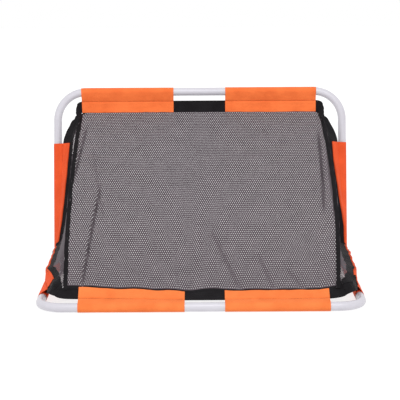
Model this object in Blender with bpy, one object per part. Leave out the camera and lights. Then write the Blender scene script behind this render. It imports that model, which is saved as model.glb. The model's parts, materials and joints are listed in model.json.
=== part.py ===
"""Folding soccer goal: two hinged tube frames with cloth sleeves, webbing and a net.

Metres, +Z up. The floor is z = 0, X runs along the bars and +Y points out of the goal mouth.
The origin is on the floor, midway between the axes of the rear bar and the top bar.
"""

import math

import bmesh
import bpy
from mathutils import Vector

# Frames
TUBE_R = 0.0125
TUBE_WALL = 0.001
LEG_X = 0.4475
GROUND_DEPTH = 0.585
GROUND_BEND = 0.070
UPRIGHT_LENGTH = 0.535
UPRIGHT_BEND = 0.089
LEAN = math.radians(10.8)
TUBE_SIDES = 16
BEND_STEPS = 10
CUTTER_REACH = 0.03

# Hinge
PIVOT_RISE = 0.030
POST_BELOW_PIVOT = 0.0083
EAR_TOP = 0.012
EAR_REAR = 0.024
EAR_BOTTOM = 0.010
EAR_STEP = 0.020
PLATE = 0.002
GAP = 0.0003
BOLT_R = 0.003
RIVET_R = 0.002
RIVET_HEAD = 0.0015
RIVET_YS = {"rear": -0.016, "front": 0.002}
WASHER_R = 0.006
WASHER_T = 0.0012
HEX_FLAT = 0.005
BOLT_HEAD = 0.004
NUT_T = 0.005
BOLT_END = 0.002
PLUG_DEPTH = 0.004

# Sleeves, webbing and net
WRAP_R = 0.014
WRAP_INNER = 0.0132
WRAP_STEPS = 10
STITCH = 0.030
FLAP_END = 0.0645
FLAP_INNER = 0.0015
FLAP_OUTER = 0.0025
WEBBING = (0.028, 0.062)
WEBBING_T = 0.001
TOP_SLEEVES = {-1: (0.0830, 0.3735), 1: (0.0800, 0.3660)}
REAR_SLEEVES = {-1: (0.0450, 0.3380), 1: (0.0660, 0.3550)}
POST_SLEEVE = (0.047, 0.3726)
SIDE_SLEEVE = (0.068, 0.473)
REAR_TWIST = math.radians(33.5)
CORNER_R = 0.030
NET_EDGE = 0.0655
NET_T = 0.0012
NET_HALF = 0.3755
SEAM_X = 0.3790
SEAM_W = 0.006
SEAM_T = 0.002
SIDE_NET_X = 0.3840
NET_SAG = 0.022
SEAM_SAG = 0.006
NET_COLUMNS = 12
NET_ROWS = 10
SEAM_SPAN = (0.03, 0.95)
SIDE_NET_SPAN = (0.05, 0.93)
SIDE_NET_COLUMNS = 4
CORNER_STEPS = 8

SIDES = {"left": -1, "right": 1}
SPREAD = UPRIGHT_LENGTH * math.sin(LEAN)
REAR_Y = -(GROUND_DEPTH + SPREAD) / 2
CORNER = Vector((0, REAR_Y + GROUND_DEPTH, WRAP_R))
POST_UP = Vector((0, math.sin(LEAN), math.cos(LEAN)))
PIVOT_UP = PIVOT_RISE / math.cos(LEAN)
PIVOT = CORNER + PIVOT_UP * POST_UP
EAR_HALF = TUBE_R + GAP
WEB_Y = EAR_TOP * math.tan(LEAN) + TUBE_R / math.cos(LEAN) + GAP
CORNER_ANGLE = math.pi / 2 + LEAN
WEBBING_MID = sum(WEBBING) / 2
CORNER_REACH = (WEBBING_MID + CORNER_R) / math.tan(CORNER_ANGLE / 2)
X = Vector((1, 0, 0))


# ---------------------------------------------------------------- mesh helpers
def new_object(name, mesh_data, material):
    obj = bpy.data.objects.new(name, mesh_data)
    bpy.context.scene.collection.objects.link(obj)
    if material:
        mesh_data.materials.append(material)
    return obj


def finish(name, bm, material):
    """The bmesh as a named object, with its faces out and its round parts smooth."""
    bmesh.ops.recalc_face_normals(bm, faces=bm.faces)
    mesh = bpy.data.meshes.new(name)
    bm.to_mesh(mesh)
    bm.free()
    mesh.shade_smooth()
    mesh.set_sharp_from_angle(angle=math.radians(35))
    return new_object(name, mesh, material)


def split_quad(bm, corners, turned):
    """Two triangles across four corners. Both layers of a twisted sheet need the same diagonal."""
    a, b, c, d = corners
    for triangle in ((a, b, d), (b, c, d)) if turned else ((a, b, c), (a, c, d)):
        bm.faces.new(triangle)


def skin(name, rings, material, loop=False):
    """A solid through rings of points: capped at both ends, or a loop back to its first ring.

    The second half of a ring is the back of its first half, so its diagonals are turned.
    """
    bm = bmesh.new()
    made = [[bm.verts.new(point) for point in ring] for ring in rings]
    pairs = list(zip(made, made[1:]))
    if loop:
        pairs.append((made[-1], made[0]))
    else:
        bm.faces.new(made[0])
        bm.faces.new(made[-1])
    for first, second in pairs:
        for i in range(len(first)):
            corners = (first[i - 1], first[i], second[i], second[i - 1])
            split_quad(bm, corners, turned=i >= len(first) // 2)
    return finish(name, bm, material)


def sheet(name, grid, thickness, material):
    """A closed sheet of even thickness about a grid of points."""
    rows = len(grid)
    columns = len(grid[0])
    bm = bmesh.new()
    layers = []
    for side in (0.5, -0.5):
        layer = []
        for i in range(rows):
            row = []
            for j in range(columns):
                down = grid[min(i + 1, rows - 1)][j] - grid[max(i - 1, 0)][j]
                over = grid[i][min(j + 1, columns - 1)] - grid[i][max(j - 1, 0)]
                normal = down.cross(over).normalized()
                row.append(bm.verts.new(grid[i][j] + side * thickness * normal))
            layer.append(row)
        layers.append(layer)
    for layer in layers:
        for i in range(rows - 1):
            for j in range(columns - 1):
                above = (layer[i][j + 1], layer[i][j])
                split_quad(bm, (*above, layer[i + 1][j], layer[i + 1][j + 1]), turned=False)
    front, back = (edge_loop(layer) for layer in layers)
    for i in range(len(front)):
        bm.faces.new((front[i - 1], front[i], back[i], back[i - 1]))
    return finish(name, bm, material)


def edge_loop(layer):
    """The vertices round the edge of a grid, in order."""
    right = [row[-1] for row in layer[1:]]
    bottom = layer[-1][-2::-1]
    left = [row[0] for row in layer[-2:0:-1]]
    return layer[0] + right + bottom + left


def cut(obj, cutter):
    """A Boolean difference that leaves the cutter as a hidden guide."""
    cutter.hide_render = True
    cutter.display_type = "WIRE"
    modifier = obj.modifiers.new("cut", "BOOLEAN")
    modifier.operation = "DIFFERENCE"
    modifier.object = cutter


def round_ring(centre, radius, sides=12):
    """A circle round an axis along X."""
    turns = (2 * math.pi * i / sides for i in range(sides))
    return [centre + radius * Vector((0, math.cos(t), math.sin(t))) for t in turns]


def hex_ring(centre, flat):
    """Twelve points round a hexagon, at its corners and the middles of its sides."""
    ring = []
    for i in range(12):
        reach = flat / math.cos(math.radians(30)) if i % 2 else flat
        turn = math.radians(30 * i)
        ring.append(centre + reach * Vector((0, math.cos(turn), math.sin(turn))))
    return ring


def cross_hole(name, centre, radius):
    """A cutter for a hole along X."""
    ends = (centre - CUTTER_REACH * X, centre + CUTTER_REACH * X)
    return skin(name, [round_ring(end, radius, 16) for end in ends], None)


# ---------------------------------------------------------------- materials
def paint(name, colour, roughness, metallic=0.0):
    material = bpy.data.materials.new(name)
    material.use_nodes = True
    shader = material.node_tree.nodes["Principled BSDF"]
    shader.inputs["Base Color"].default_value = (*colour, 1.0)
    shader.inputs["Roughness"].default_value = roughness
    shader.inputs["Metallic"].default_value = metallic
    return material


# ---------------------------------------------------------------- tube axes
class Rail:
    """The axis of a U-shaped tube: a bar along X, two bends and two legs.

    A place on it is a distance from the middle of the bar, below zero on the left.
    The flap on a sleeve points inwards, turned towards the net by the twist at that place.
    """

    def __init__(self, bar, along, net_side, length, bend, twists):
        self.bar = bar
        self.along = along
        self.net_side = net_side
        self.bend = bend
        self.straight = LEG_X - bend
        self.leg = self.straight + bend * math.pi / 2
        self.end = self.leg + length - bend
        self.twists = twists

    def from_corner(self, distance):
        """The place on a leg at this distance from the corner where the two frames' axes meet."""
        return self.end - distance

    def flat_point(self, place):
        """Across and along coordinates of a place on the right half."""
        turn = (place - self.straight) / self.bend
        if turn <= 0:
            return place, 0.0
        if place >= self.leg:
            return LEG_X, self.bend + place - self.leg
        step = math.pi / 2 / BEND_STEPS
        low = math.floor(turn / step + 1e-9)
        share = turn / step - low
        across = 0.0
        along = 0.0
        for knot, weight in ((low, 1 - share), (low + 1, share)):
            across += weight * (self.straight + self.bend * math.sin(knot * step))
            along += weight * self.bend * (1 - math.cos(knot * step))
        return across, along

    def axes(self, place):
        """The axis point, the inward normal and the net-side normal at a place."""
        side = -1 if place < 0 else 1
        across, along = self.flat_point(abs(place))
        turn = min(max((abs(place) - self.straight) / self.bend, 0.0), math.pi / 2)
        centre = self.bar + side * across * X + along * self.along
        inward = math.cos(turn) * self.along - side * math.sin(turn) * X
        return centre, inward, self.net_side

    def twist(self, place):
        """How far the flap turns from the frame's plane, evenly between the given places."""
        place = abs(place)
        for (low, first), (high, second) in zip(self.twists, self.twists[1:]):
            if place <= high:
                share = min(max((place - low) / (high - low), 0.0), 1.0)
                return first + (second - first) * share
        return self.twists[-1][1]

    def flap(self, place, reach, offset=0.0):
        """A point at a reach from the axis in the flap's direction, and an offset across it."""
        centre, inward, normal = self.axes(place)
        turn = self.twist(place)
        out = math.cos(turn) * inward + math.sin(turn) * normal
        across = math.cos(turn) * normal - math.sin(turn) * inward
        return centre + reach * out + offset * across

    def places(self, first, last, longest=0.02):
        """Places from first to last that hold every step of the bends."""
        step = self.bend * math.pi / 2 / BEND_STEPS
        knots = [self.straight + i * step for i in range(BEND_STEPS + 1)]
        inside = [k for s in (-1, 1) for k in (s * knot for knot in knots) if first < k < last]
        marks = [first, *sorted(inside), last]
        found = [first]
        for low, high in zip(marks, marks[1:]):
            count = max(1, math.ceil((high - low) / longest))
            found += [low + (high - low) * (i + 1) / count for i in range(count)]
        return found


def ground_rail():
    twists = (
        (0.36, REAR_TWIST),
        (0.53, math.radians(55)),
        (0.89, math.radians(90)),
    )
    bar = Vector((0, REAR_Y, WRAP_R))
    return Rail(bar, Vector((0, 1, 0)), Vector((0, 0, 1)), GROUND_DEPTH, GROUND_BEND, twists)


def upright_rail():
    twists = (
        (0.375, 0.0),
        (0.572, math.radians(50)),
        (0.834, math.radians(90)),
    )
    bar = CORNER + UPRIGHT_LENGTH * POST_UP
    net_side = Vector((0, -math.cos(LEAN), math.sin(LEAN)))
    return Rail(bar, -POST_UP, net_side, UPRIGHT_LENGTH, UPRIGHT_BEND, twists)


# ---------------------------------------------------------------- frames
def frame_tube(name, rail, beyond, material):
    """A hollow tube along a rail, its legs reaching this far beyond the corner."""
    last = rail.end + beyond
    places = rail.places(-last, last, longest=2.0)
    rings = []
    for radius, order in ((TUBE_R, places), (TUBE_R - TUBE_WALL, places[::-1])):
        for place in order:
            centre, inward, normal = rail.axes(place)
            turns = (2 * math.pi * (i + 0.5) / TUBE_SIDES for i in range(TUBE_SIDES))
            rings.append(
                [centre + radius * (math.cos(t) * inward + math.sin(t) * normal) for t in turns]
            )
    return skin(name, rings, material, loop=True)


def end_plug(name, side, end, direction, material):
    """A plug pressed flush into the end of a leg."""
    centre = end + side * LEG_X * X
    across = direction.cross(X)
    radius = (TUBE_R - TUBE_WALL) * math.cos(math.pi / TUBE_SIDES) - GAP
    rings = []
    for depth, size in ((0.0, radius), (PLUG_DEPTH, radius - GAP)):
        turns = (2 * math.pi * i / TUBE_SIDES for i in range(TUBE_SIDES))
        rings.append(
            [
                centre - depth * direction + size * (math.cos(t) * X + math.sin(t) * across)
                for t in turns
            ]
        )
    return skin(name, rings, material)


# ---------------------------------------------------------------- hinge
def ear_profile():
    """The bracket from the side, as (y, z) from the pivot."""
    front = WEB_Y + PLATE
    bottom = -PIVOT_RISE - EAR_BOTTOM
    outline = [(-EAR_REAR, bottom), (front, bottom), (front, EAR_TOP)]
    for i in range(7):
        turn = math.radians(90 + 15 * i)
        outline.append((EAR_TOP * math.cos(turn), EAR_TOP * math.sin(turn)))
    outline.append((-EAR_REAR, -EAR_STEP))
    return outline


def hinge_bracket(name, side, material):
    """A folded plate: an ear on each side of the tubes, and a web that stops the post."""
    leg = Vector((side * LEG_X, 0, 0))
    half = EAR_HALF + PLATE
    outline = [PIVOT + leg + Vector((0, y, z)) for y, z in ear_profile()]
    bracket = skin(name, [[p + x * X for p in outline] for x in (-half, half)], material)
    rear = -EAR_REAR - CUTTER_REACH
    low = -PIVOT_RISE - CUTTER_REACH
    inside = [
        PIVOT + leg + Vector((0, y, z))
        for y, z in ((rear, low), (WEB_Y, low), (WEB_Y, CUTTER_REACH), (rear, CUTTER_REACH))
    ]
    channel = [[p + x * X for p in inside] for x in (-EAR_HALF, EAR_HALF)]
    cut(bracket, skin(name + "_channel", channel, None))
    cut(bracket, cross_hole(name + "_bore", PIVOT + leg, BOLT_R + GAP))
    for where, y in RIVET_YS.items():
        centre = PIVOT + leg + Vector((0, y, -PIVOT_RISE))
        cut(bracket, cross_hole(f"{name}_{where}_hole", centre, RIVET_R + GAP))
    return bracket


def pivot_bolt(name, side, material):
    """A hexagon bolt with its head on the outside."""
    axis = PIVOT + side * LEG_X * X
    under_head = EAR_HALF + PLATE + WASHER_T + 2 * GAP
    tip = -(under_head + NUT_T + BOLT_END)
    rings = [
        hex_ring(axis + side * (under_head + BOLT_HEAD) * X, HEX_FLAT),
        hex_ring(axis + side * under_head * X, HEX_FLAT),
        round_ring(axis + side * under_head * X, BOLT_R),
        round_ring(axis + side * tip * X, BOLT_R),
    ]
    return skin(name, rings, material)


def pivot_nut(name, side, material):
    """A hexagon nut on the inner end of the bolt."""
    axis = PIVOT + side * LEG_X * X
    near = -(EAR_HALF + PLATE + WASHER_T + 2 * GAP)
    far = near - NUT_T
    rings = [
        hex_ring(axis + side * near * X, HEX_FLAT),
        hex_ring(axis + side * far * X, HEX_FLAT),
        round_ring(axis + side * far * X, BOLT_R + GAP),
        round_ring(axis + side * near * X, BOLT_R + GAP),
    ]
    return skin(name, rings, material, loop=True)


def washer(name, side, face, material):
    """A flat washer outside an ear: face is 1 on the bolt head's side and -1 on the nut's."""
    axis = PIVOT + side * LEG_X * X
    near = side * face * (EAR_HALF + PLATE + GAP)
    far = side * face * (EAR_HALF + PLATE + GAP + WASHER_T)
    rings = [
        round_ring(axis + near * X, WASHER_R),
        round_ring(axis + far * X, WASHER_R),
        round_ring(axis + far * X, BOLT_R + GAP),
        round_ring(axis + near * X, BOLT_R + GAP),
    ]
    return skin(name, rings, material, loop=True)


def rivet(name, side, y, material):
    """A domed rivet through both ears and the ground tube."""
    centre = PIVOT + side * LEG_X * X + Vector((0, y, -PIVOT_RISE))
    face = EAR_HALF + PLATE + GAP
    half = [
        (face + RIVET_HEAD, 0.6 * RIVET_R),
        (face + 0.6 * RIVET_HEAD, 1.4 * RIVET_R),
        (face, 1.7 * RIVET_R),
        (face, RIVET_R),
    ]
    profile = [(-x, r) for x, r in half] + [(x, r) for x, r in half[::-1]]
    return skin(name, [round_ring(centre + x * X, r) for x, r in profile], material)


# ---------------------------------------------------------------- sleeves and webbing
def sleeve_section(on_bar):
    """A strip wrapped round the tube, its two layers meeting the flap, as (reach, offset).

    On a bar its flats touch the floor, and on a leg its corners do.
    """
    inner_turn = math.acos(WRAP_INNER / STITCH) + FLAP_INNER / STITCH
    step = (2 * math.pi - 2 * inner_turn) / WRAP_STEPS
    outer_r = WRAP_R / math.cos(step / 2) if on_bar else WRAP_R
    turns = [inner_turn + i * step for i in range(WRAP_STEPS + 1)]
    outer = [(outer_r * math.cos(t), outer_r * math.sin(t)) for t in turns]
    inner = [(WRAP_INNER * math.cos(t), WRAP_INNER * math.sin(t)) for t in turns[::-1]]
    near = [(FLAP_END, FLAP_OUTER), (STITCH, FLAP_OUTER)]
    far = [(STITCH, -FLAP_OUTER), (FLAP_END, -FLAP_OUTER)]
    back = [(FLAP_END, -FLAP_INNER), (STITCH, -FLAP_INNER)]
    home = [(STITCH, FLAP_INNER), (FLAP_END, FLAP_INNER)]
    return near + outer + far + back + inner + home


def sleeve(name, rail, first, last, material, on_bar):
    section = sleeve_section(on_bar)
    places = rail.places(first, last, longest=0.5) if on_bar else rail.places(first, last)
    rings = [[rail.flap(place, reach, offset) for reach, offset in section] for place in places]
    return skin(name, rings, material)


def ribbon(reach, offset):
    """The four corners of a webbing's section."""
    low, high = reach
    return ((low, offset), (high, offset), (high, -offset), (low, -offset))


def webbing(name, rail, material):
    """The webbing along a frame's inner side, from one hinge corner to the other."""
    last = rail.from_corner(CORNER_REACH + GAP)
    rings = [
        [rail.flap(place, a, b) for a, b in ribbon(WEBBING, WEBBING_T / 2)]
        for place in rail.places(-last, last)
    ]
    return skin(name, rings, material)


def corner_point(side, reach, share, offset=0.0):
    """A point at a reach from both frames' axes, from the post at share 0 to the rail at share 1."""
    away = WEBBING_MID + CORNER_R
    centre = CORNER + Vector((side * LEG_X + offset, -CORNER_REACH, away))
    turn = -LEAN - (math.pi / 2 - LEAN) * share
    return centre + (away - reach) * Vector((0, math.cos(turn), math.sin(turn)))


def corner_webbing(name, side, material):
    """The webbing round the hinge corner, between the two frames' webbing."""
    rings = [
        [corner_point(side, a, i / CORNER_STEPS, b) for a, b in ribbon(WEBBING, WEBBING_T / 2)]
        for i in range(CORNER_STEPS + 1)
    ]
    return skin(name, rings, material)


# ---------------------------------------------------------------- net
def net_end(rail, x):
    """Where the back net meets a frame's webbing, at a distance from the centre plane."""
    radius = rail.bend - NET_EDGE
    past = min(max(abs(x) - rail.straight, 0.0), radius)
    turn = math.asin(past / radius)
    place = min(abs(x), rail.straight) + rail.bend * turn
    return rail.flap(math.copysign(place, x), NET_EDGE)


def net_point(rails, x, share):
    """A point on the sagging back net: share 0 is the rear bar's end and 1 is the top bar's."""
    ground, upright = rails
    low = net_end(ground, x)
    high = net_end(upright, x)
    slope = (high - low).normalized()
    down = slope.cross(X)
    across = 1 - (x / SEAM_X) ** 2
    sag = (SEAM_SAG + (NET_SAG - SEAM_SAG) * across) * 4 * share * (1 - share)
    point = low.lerp(high, share) - sag * down
    point.x = x
    return point


def back_net(name, rails, material):
    grid = [
        [
            net_point(rails, NET_HALF * (2 * j / NET_COLUMNS - 1), i / NET_ROWS)
            for j in range(NET_COLUMNS + 1)
        ]
        for i in range(NET_ROWS + 1)
    ]
    return sheet(name, grid, NET_T, material)


def seam_binding(name, rails, side, material):
    """The strip sewn over the seam between the back net and a side net."""
    first, last = SEAM_SPAN
    shares = [first + (last - first) * i / NET_ROWS for i in range(NET_ROWS + 1)]
    edges = [side * (SEAM_X + half * SEAM_W) for half in (-0.5, 0.5)]
    grid = [[net_point(rails, x, share) for x in edges] for share in shares]
    return sheet(name, grid, SEAM_T, material)


def net_border(rails, side):
    """The side net's outer edge: from the top bar, down the post, round the corner, to the rear."""
    ground, upright = rails
    last_post = upright.from_corner(CORNER_REACH)
    last_rail = ground.from_corner(CORNER_REACH)
    post = upright.places(upright.straight + upright.bend, last_post, longest=0.06)
    rail = ground.places(ground.straight + ground.bend, last_rail, longest=0.06)
    points = [upright.flap(side * place, NET_EDGE) for place in post]
    points += [corner_point(side, NET_EDGE, i / 4) for i in range(1, 4)]
    points += [ground.flap(side * place, NET_EDGE) for place in reversed(rail)]
    return points


def side_net(name, rails, side, material):
    """The panel between the seam and a frame's webbing, ruled from one to the other."""
    border = net_border(rails, side)
    lengths = [0.0]
    for first, second in zip(border, border[1:]):
        lengths.append(lengths[-1] + (second - first).length)
    low, high = SIDE_NET_SPAN
    columns = [j / SIDE_NET_COLUMNS for j in range(SIDE_NET_COLUMNS + 1)]
    grid = []
    for point, length in zip(border, lengths):
        share = high - (high - low) * length / lengths[-1]
        seam = net_point(rails, side * SIDE_NET_X, share)
        grid.append([seam.lerp(point, column) for column in columns])
    return sheet(name, grid, NET_T, material)


# ---------------------------------------------------------------- the goal
def make_frames(rails, steel, plastic):
    ground, upright = rails
    ground_end = PIVOT.y + WEB_Y - GAP - CORNER.y
    post_end = POST_BELOW_PIVOT - PIVOT_UP
    ground_tube = frame_tube("ground_tube", ground, ground_end, steel)
    upright_tube = frame_tube("upright_tube", upright, post_end, steel)
    for label, side in SIDES.items():
        axis = PIVOT + side * LEG_X * X
        cut(upright_tube, cross_hole(f"post_bore_{label}", axis, BOLT_R + GAP))
        for where, y in RIVET_YS.items():
            centre = axis + Vector((0, y, -PIVOT_RISE))
            cut(ground_tube, cross_hole(f"rail_{where}_hole_{label}", centre, RIVET_R + GAP))
        front = CORNER + ground_end * ground.along
        end_plug(f"ground_plug_{label}", side, front, ground.along, plastic)
        end_plug(f"post_plug_{label}", side, CORNER - post_end * POST_UP, -POST_UP, plastic)


def make_hinges(black_steel, zinc):
    for label, side in SIDES.items():
        hinge_bracket(f"hinge_bracket_{label}", side, black_steel)
        pivot_bolt(f"pivot_bolt_{label}", side, zinc)
        pivot_nut(f"pivot_nut_{label}", side, zinc)
        washer(f"outer_washer_{label}", side, 1, zinc)
        washer(f"inner_washer_{label}", side, -1, zinc)
        for where, y in RIVET_YS.items():
            rivet(f"{where}_rivet_{label}", side, y, zinc)


def make_sleeves(rails, cloth):
    ground, upright = rails
    for label, side in SIDES.items():
        bars = (("top", upright, TOP_SLEEVES[side]), ("rear", ground, REAR_SLEEVES[side]))
        for where, rail, (near, far) in bars:
            first, last = sorted((side * near, side * far))
            sleeve(f"{where}_sleeve_{label}", rail, first, last, cloth, True)
        legs = (("post", upright, POST_SLEEVE), ("side", ground, SIDE_SLEEVE))
        for where, rail, (low, high) in legs:
            places = (side * rail.from_corner(low), side * rail.from_corner(high))
            sleeve(f"{where}_sleeve_{label}", rail, min(places), max(places), cloth, False)


def make_net(rails, tape, mesh_cloth):
    ground, upright = rails
    webbing("upper_webbing", upright, tape)
    webbing("lower_webbing", ground, tape)
    back_net("back_net", rails, mesh_cloth)
    for label, side in SIDES.items():
        corner_webbing(f"corner_webbing_{label}", side, tape)
        seam_binding(f"seam_binding_{label}", rails, side, tape)
        side_net(f"side_net_{label}", rails, side, mesh_cloth)


def main():
    for obj in list(bpy.data.objects):
        bpy.data.objects.remove(obj, do_unlink=True)
    rails = (ground_rail(), upright_rail())
    white_steel = paint("white_steel", (0.86, 0.86, 0.88), 0.35)
    black_steel = paint("black_steel", (0.02, 0.02, 0.022), 0.45)
    zinc = paint("zinc", (0.6, 0.61, 0.62), 0.3, 1.0)
    tape = paint("webbing", (0.015, 0.015, 0.017), 0.8)
    mesh_cloth = paint("net", (0.03, 0.03, 0.033), 0.8)
    make_frames(rails, white_steel, paint("plug", (0.02, 0.02, 0.02), 0.5))
    make_hinges(black_steel, zinc)
    make_sleeves(rails, paint("orange_cloth", (0.9, 0.2, 0.04), 0.8))
    make_net(rails, tape, mesh_cloth)


main()
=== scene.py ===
"""The finished look of the folding soccer goal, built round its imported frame.

Metres, +Z up. X runs along the bars and +Y points out of the goal mouth. Every cloth piece
follows the two tube frames, whose formulas and dimensions repeat those of the frame itself.
"""

import json
import math

import bmesh
import bpy
import numpy as np
from mathutils import Matrix, Vector, noise


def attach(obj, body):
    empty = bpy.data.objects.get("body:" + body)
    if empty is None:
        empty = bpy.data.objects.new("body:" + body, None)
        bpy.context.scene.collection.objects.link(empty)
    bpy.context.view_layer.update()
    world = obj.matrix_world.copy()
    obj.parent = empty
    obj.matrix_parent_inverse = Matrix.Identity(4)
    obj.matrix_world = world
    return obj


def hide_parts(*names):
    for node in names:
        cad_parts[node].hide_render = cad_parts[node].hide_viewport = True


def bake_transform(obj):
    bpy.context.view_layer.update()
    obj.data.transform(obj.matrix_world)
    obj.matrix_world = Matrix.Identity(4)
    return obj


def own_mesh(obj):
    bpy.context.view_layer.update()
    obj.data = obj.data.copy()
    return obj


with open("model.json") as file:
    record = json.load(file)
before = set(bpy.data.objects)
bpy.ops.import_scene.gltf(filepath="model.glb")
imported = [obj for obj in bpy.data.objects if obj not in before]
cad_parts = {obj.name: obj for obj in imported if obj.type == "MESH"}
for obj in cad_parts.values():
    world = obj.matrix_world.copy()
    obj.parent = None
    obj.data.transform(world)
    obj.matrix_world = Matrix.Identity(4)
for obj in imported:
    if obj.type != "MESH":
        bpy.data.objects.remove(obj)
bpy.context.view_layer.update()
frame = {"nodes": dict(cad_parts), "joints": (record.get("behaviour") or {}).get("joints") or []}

# Frames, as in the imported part
TUBE_R = 0.0125
TUBE_WALL = 0.001
LEG_X = 0.4475
GROUND_DEPTH = 0.585
GROUND_BEND = 0.070
UPRIGHT_LENGTH = 0.535
UPRIGHT_BEND = 0.089
LEAN = math.radians(10.8)
PIVOT_RISE = 0.030
POST_BELOW_PIVOT = 0.0083
EAR_TOP = 0.012
GAP = 0.0003
BOLT_R = 0.003
RIVET_R = 0.002
RIVET_YS = (-0.016, 0.002)

# Sleeves and webbing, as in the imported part: reaches are measured from a tube's axis,
# and a pair of places is a near and a far end
STITCH = 0.030
FLAP_END = 0.0645
WEBBING = (0.028, 0.062)
WEBBING_T = 0.001
TOP_SLEEVES = {-1: (0.0830, 0.3735), 1: (0.0800, 0.3660)}
REAR_SLEEVES = {-1: (0.0450, 0.3380), 1: (0.0660, 0.3550)}
POST_SLEEVE = (0.047, 0.3726)
SIDE_SLEEVE = (0.068, 0.473)
CORNER_R = 0.030

# Sleeves: half gaps between the two layers of cloth, stitches and the size of the wrinkles
CLOTH_T = 0.0006
WRAP_MID = 0.0131
FLAP_MID = 0.0012
PINCH_MID = 0.0009
PINCH_W = 0.0026
EDGE_R = 0.0004
EDGE_STITCH = 0.0605
THREAD_R = 0.00045
THREAD_LENGTH = 0.0030
THREAD_PITCH = 0.0040
SLEEVE_STEP = 0.004
PUCKER_H = 0.0017
FOLD_H = 0.0026
END_HEM_H = 0.0004
END_HEM_IN = 0.006

# Flaps: (place, degrees) turned from the frame's plane on each side, the height of their waves,
# and where and how far they hang slack round a bend
GROUND_TWISTS = {
    -1: ((0.08, 28), (0.31, 41), (0.37, 44), (0.53, 57), (0.61, 85), (0.93, 90)),
    1: ((0.24, 28), (0.33, 30), (0.37, 38), (0.53, 76), (0.61, 86), (0.93, 90)),
}
UPRIGHT_TWISTS = {
    -1: ((0.375, 0), (0.572, 50), (0.70, 63), (0.80, 74), (0.92, 90)),
    1: ((0.375, 0), (0.572, 55), (0.70, 70), (0.834, 90)),
}
GROUND_WAVES = 0.0042
UPRIGHT_WAVES = 0.0016
GROUND_SLACK = (0.36, 0.52, 0.004)
UPRIGHT_SLACK = (0.38, 0.57, 0.018)

# Webbing: its lap under the net's edge and the places where it is split
TAPE_STEP = 0.006
TAPE_CELLS = 8
TAPE_LAP = 0.0016
UPPER_SPLIT = 0.446
LOWER_SPLIT = 0.505

# Back net: its edge, its sag, each seam's distance from the middle and bow, and its cells
NET_EDGE = 0.0625
NET_T = 0.0011
SEAM_X = 0.3790
NET_SAG = 0.010
SEAM_SAG = 0.006
SEAM_SHAPES = {-1: (0.375, 0.009), 1: (0.381, 0.016)}
NET_GRID = (150, 120)
NET_CELLS = (125, 49)
HOLE_SHARE = {"back": 0.28, "side": 0.46}
DRAWN_SHARE = 0.10
DRAWN_H = 0.006
DRAWN_NARROW = 0.6

# Side nets: the part of the seam they hang from, where their outer edge starts, their cells,
# the width beside that edge that is drawn in, and how far it is at its top and bottom
SIDE_NET_SPAN = (0.015, 0.985)
SIDE_NET_STARTS = {"upright": 0.383, "ground": 0.384}
SIDE_STEP = 0.007
SIDE_COLUMNS = 32
SIDE_CELLS = (16, 44)
HEM_RUN = 0.030
TURN_IN = {-1: (0.015, 0.014), 1: (0.014, 0.024)}

# Edging: seam bindings, the back net's hems and the first and last width of the side nets' hems
SEAM_W = 0.012
SEAM_T = 0.0022
SEAM_ENDS = (-0.010, 1.012)
HEM_T = 0.0016
HEM_LAP = 0.003
HEM_BEYOND_SEAM = 0.006
BACK_HEMS = {"bottom": 0.009, "top": 0.0035}
SIDE_HEMS = {
    "left": {"front": (0.016, 0.030), "rear": (0.030, 0.026)},
    "right": {"front": (0.022, 0.046), "rear": (0.046, 0.026)},
}

# Folds pulled into the back net: from and to (x, distance up the slope), height and width
CREASES = (
    ((-0.292, 0.44), (-0.331, 0.02), 0.011, 0.0045),
    ((-0.352, 0.70), (-0.374, 0.45), 0.009, 0.005),
    ((0.360, 0.68), (0.350, 0.33), 0.013, 0.0045),
    ((0.027, 0.24), (0.114, 0.00), 0.0036, 0.010),
    ((0.158, 0.15), (0.206, 0.00), 0.0034, 0.009),
    ((0.237, 0.09), (0.289, 0.00), 0.0030, 0.008),
    ((-0.330, 0.60), (-0.285, 0.30), 0.0022, 0.008),
)

# Looks of the cloth
SOFT_SHEEN = {"Sheen_Weight": 0.02, "Sheen_Roughness": 0.4}
YARN_PITCH = 0.0011

# Stage and lights: each light's name, place, size and watts
WORLD_LIGHT = 1.0
FLOOR_GLOW = 0.80
LIGHTS = (
    ("key", (0.4, -2.8, 3.0), 2.6, 75.0),
    ("fill", (-2.6, -1.6, 1.6), 2.5, 8.0),
)
LIGHTS_AIM = (0, 0, 0.2)

# Camera: its lens in mm, its distance behind the rear bar, its height and angles in degrees
LENS = 126.4
CAMERA_BACK = 3.741
CAMERA_HEIGHT = 0.961
CAMERA_DOWN = 9.85
CAMERA_ROLL = -0.33

SIDES = {"left": -1, "right": 1}
X = Vector((1, 0, 0))
POST_UP = Vector((0, math.sin(LEAN), math.cos(LEAN)))
POST_NET_SIDE = Vector((0, -math.cos(LEAN), math.sin(LEAN)))
PIVOT = Vector(frame["joints"][0]["pos_m"])
PIVOT_UP = PIVOT_RISE / math.cos(LEAN)
CORNER = PIVOT - PIVOT_UP * POST_UP
REAR_Y = CORNER.y - GROUND_DEPTH
WEB_Y = EAR_TOP * math.tan(LEAN) + TUBE_R / math.cos(LEAN) + GAP
CORNER_ANGLE = math.pi / 2 + LEAN
WEBBING_MID = sum(WEBBING) / 2
CORNER_REACH = (WEBBING_MID + CORNER_R) / math.tan(CORNER_ANGLE / 2)


# -------- small helpers
def ease(share):
    """A smooth step from 0 to 1."""
    share = min(max(share, 0.0), 1.0)
    return share * share * (3 - 2 * share)


def ripple(*place):
    """Smooth noise between about -1 and 1, the same on each run."""
    return noise.noise(Vector((*place, 0.0, 0.0)[:3]))


def spread(first, last, count):
    """Evenly spaced values from first to last, one more than the count of gaps."""
    return [first + (last - first) * i / count for i in range(count + 1)]


def steps(first, last, longest):
    """Evenly spaced values from first to last, no further apart than the longest gap."""
    return spread(first, last, max(2, math.ceil(abs(last - first) / longest)))


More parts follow.
